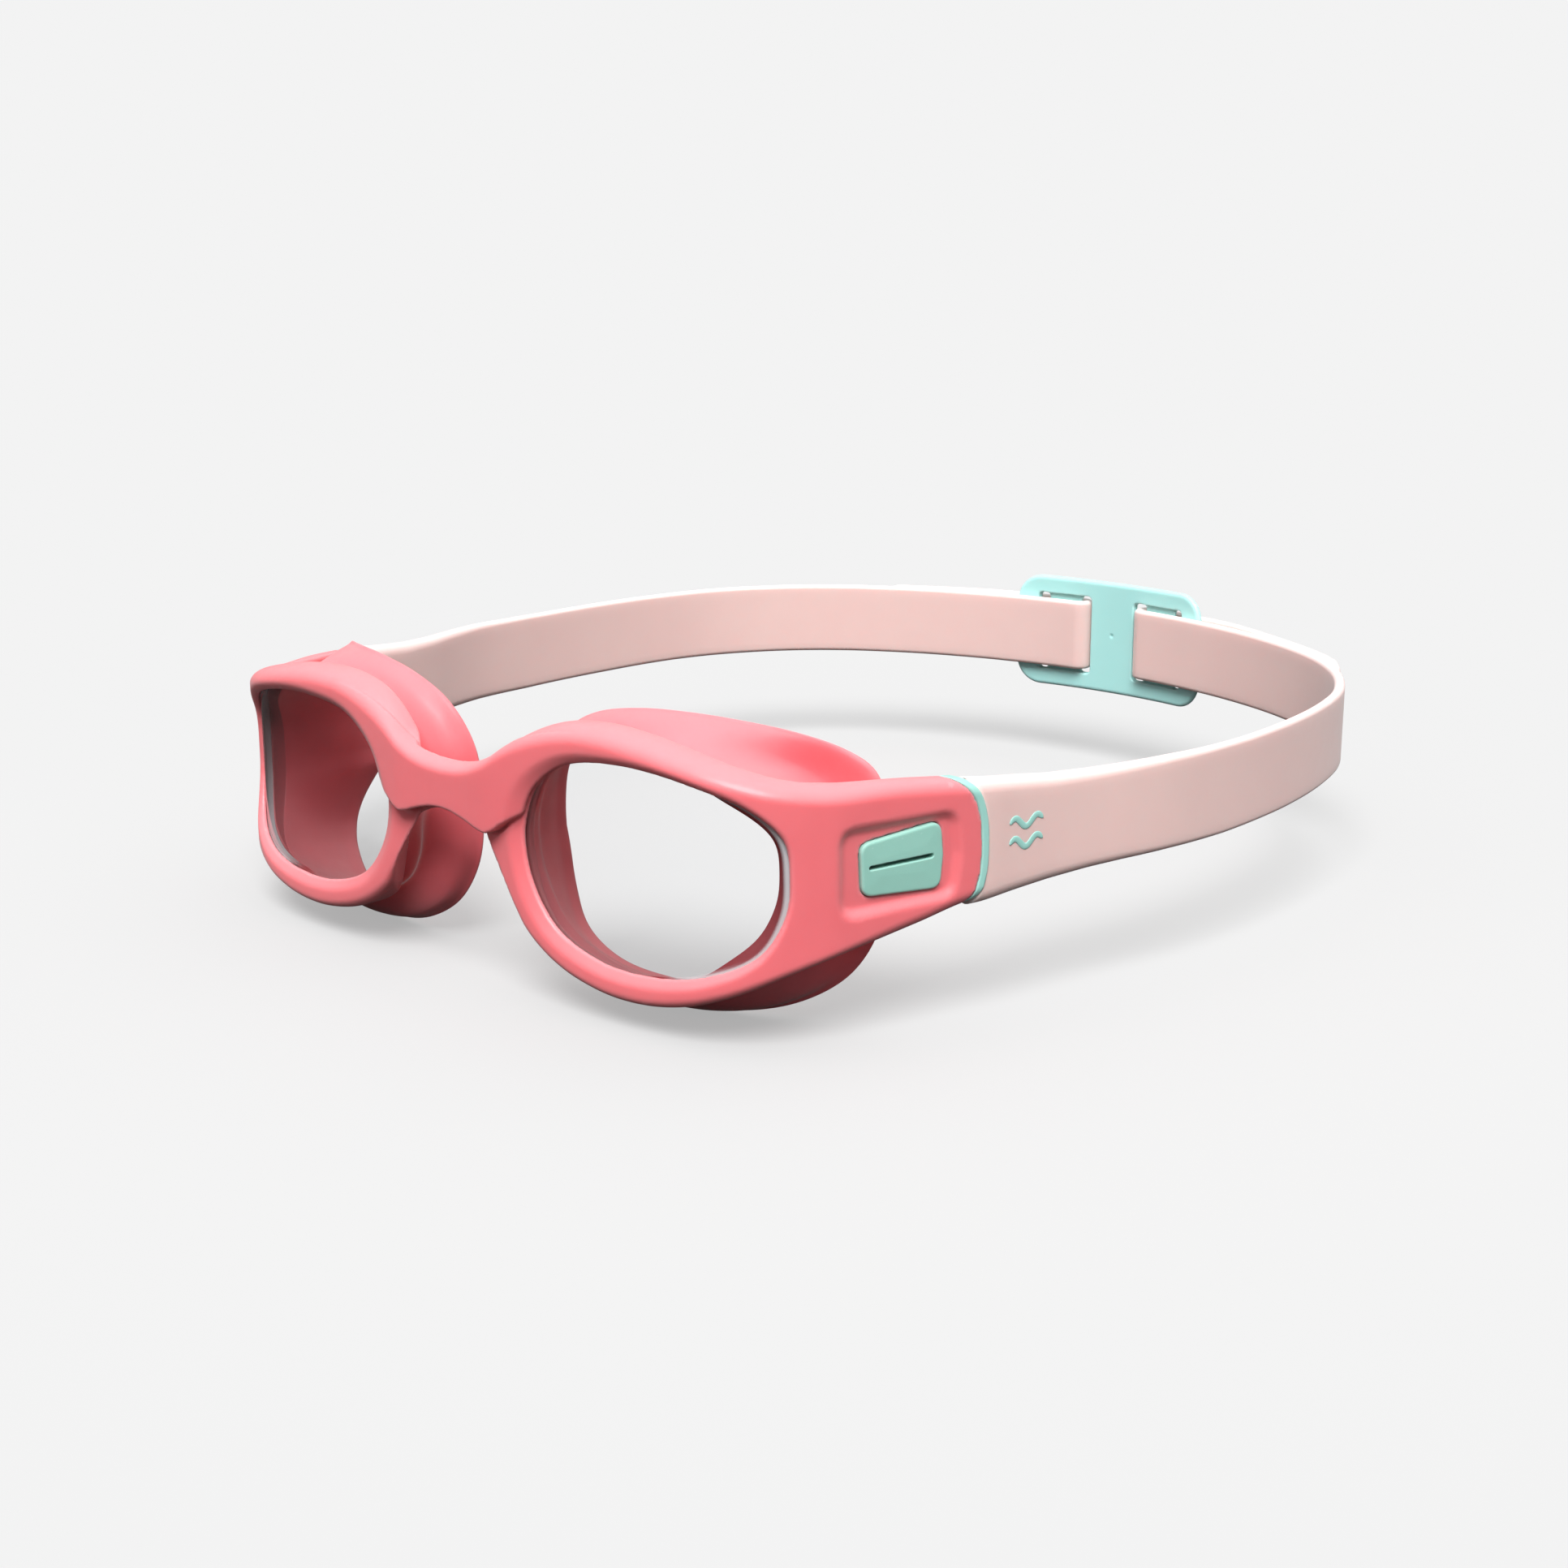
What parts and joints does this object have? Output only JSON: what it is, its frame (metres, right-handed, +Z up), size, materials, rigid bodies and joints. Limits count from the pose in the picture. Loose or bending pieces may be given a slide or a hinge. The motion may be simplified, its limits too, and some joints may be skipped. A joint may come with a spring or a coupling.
{
  "type": "swim goggles",
  "caption": "Swim goggles: coral front with clear lenses and soft eye seals, clip-on silicone head band and a mint ladder buckle for adjusting its length.",
  "frame": {"origin": "centre of the underside of the whole object's bounding box, on the plane of symmetry, in the middle between the bridge and the back of the buckle", "axes": "+X towards the wearer's left, +Y from the lenses towards the back of the head, +Z up"},
  "size_m": [0.1714, 0.192, 0.0477],
  "materials": {
    "coral_moulding": "satin soft-touch moulding",
    "coral_seal": "satin soft elastomer",
    "clear_lens": "clear polished polycarbonate",
    "mint_clip": "satin",
    "mint_pad": "satin",
    "pale_band": "matt silicone with a soft sheen",
    "mint_buckle": "satin"
  },
  "bodies": {
    "front": {"front_frame": "coral_moulding", "nose_bridge_core": "coral_moulding", "lens_left": "clear_lens", "lens_right": "clear_lens", "skirt_left": "coral_seal", "skirt_right": "coral_seal", "strap_clip_left": "mint_clip", "strap_clip_right": "mint_clip"},
    "pad_left": {"release_pad_left": "mint_pad"},
    "pad_right": {"release_pad_right": "mint_pad"},
    "loop": {"strap_left": "pale_band", "strap_right": "pale_band", "buckle": "mint_buckle"}
  },
  "joints": [
    {"name": "loop_tilt", "type": "hinge", "parent": "front", "child": "loop", "pos_m": [0, -0.06858, 0.02771], "axis": [1, 0, 0], "range_deg": [-12, 28], "stiffness_Nm_per_rad": 0.6},
    {"name": "press_left", "type": "slide", "parent": "front", "child": "pad_left", "axis": [-0.9357, 0.3527, 0], "range_m": [0, 0.001], "stiffness_N_per_m": 400},
    {"name": "press_right", "type": "slide", "parent": "front", "child": "pad_right", "axis": [0.9357, 0.3527, 0], "range_m": [0, 0.001], "stiffness_N_per_m": 400}
  ]
}
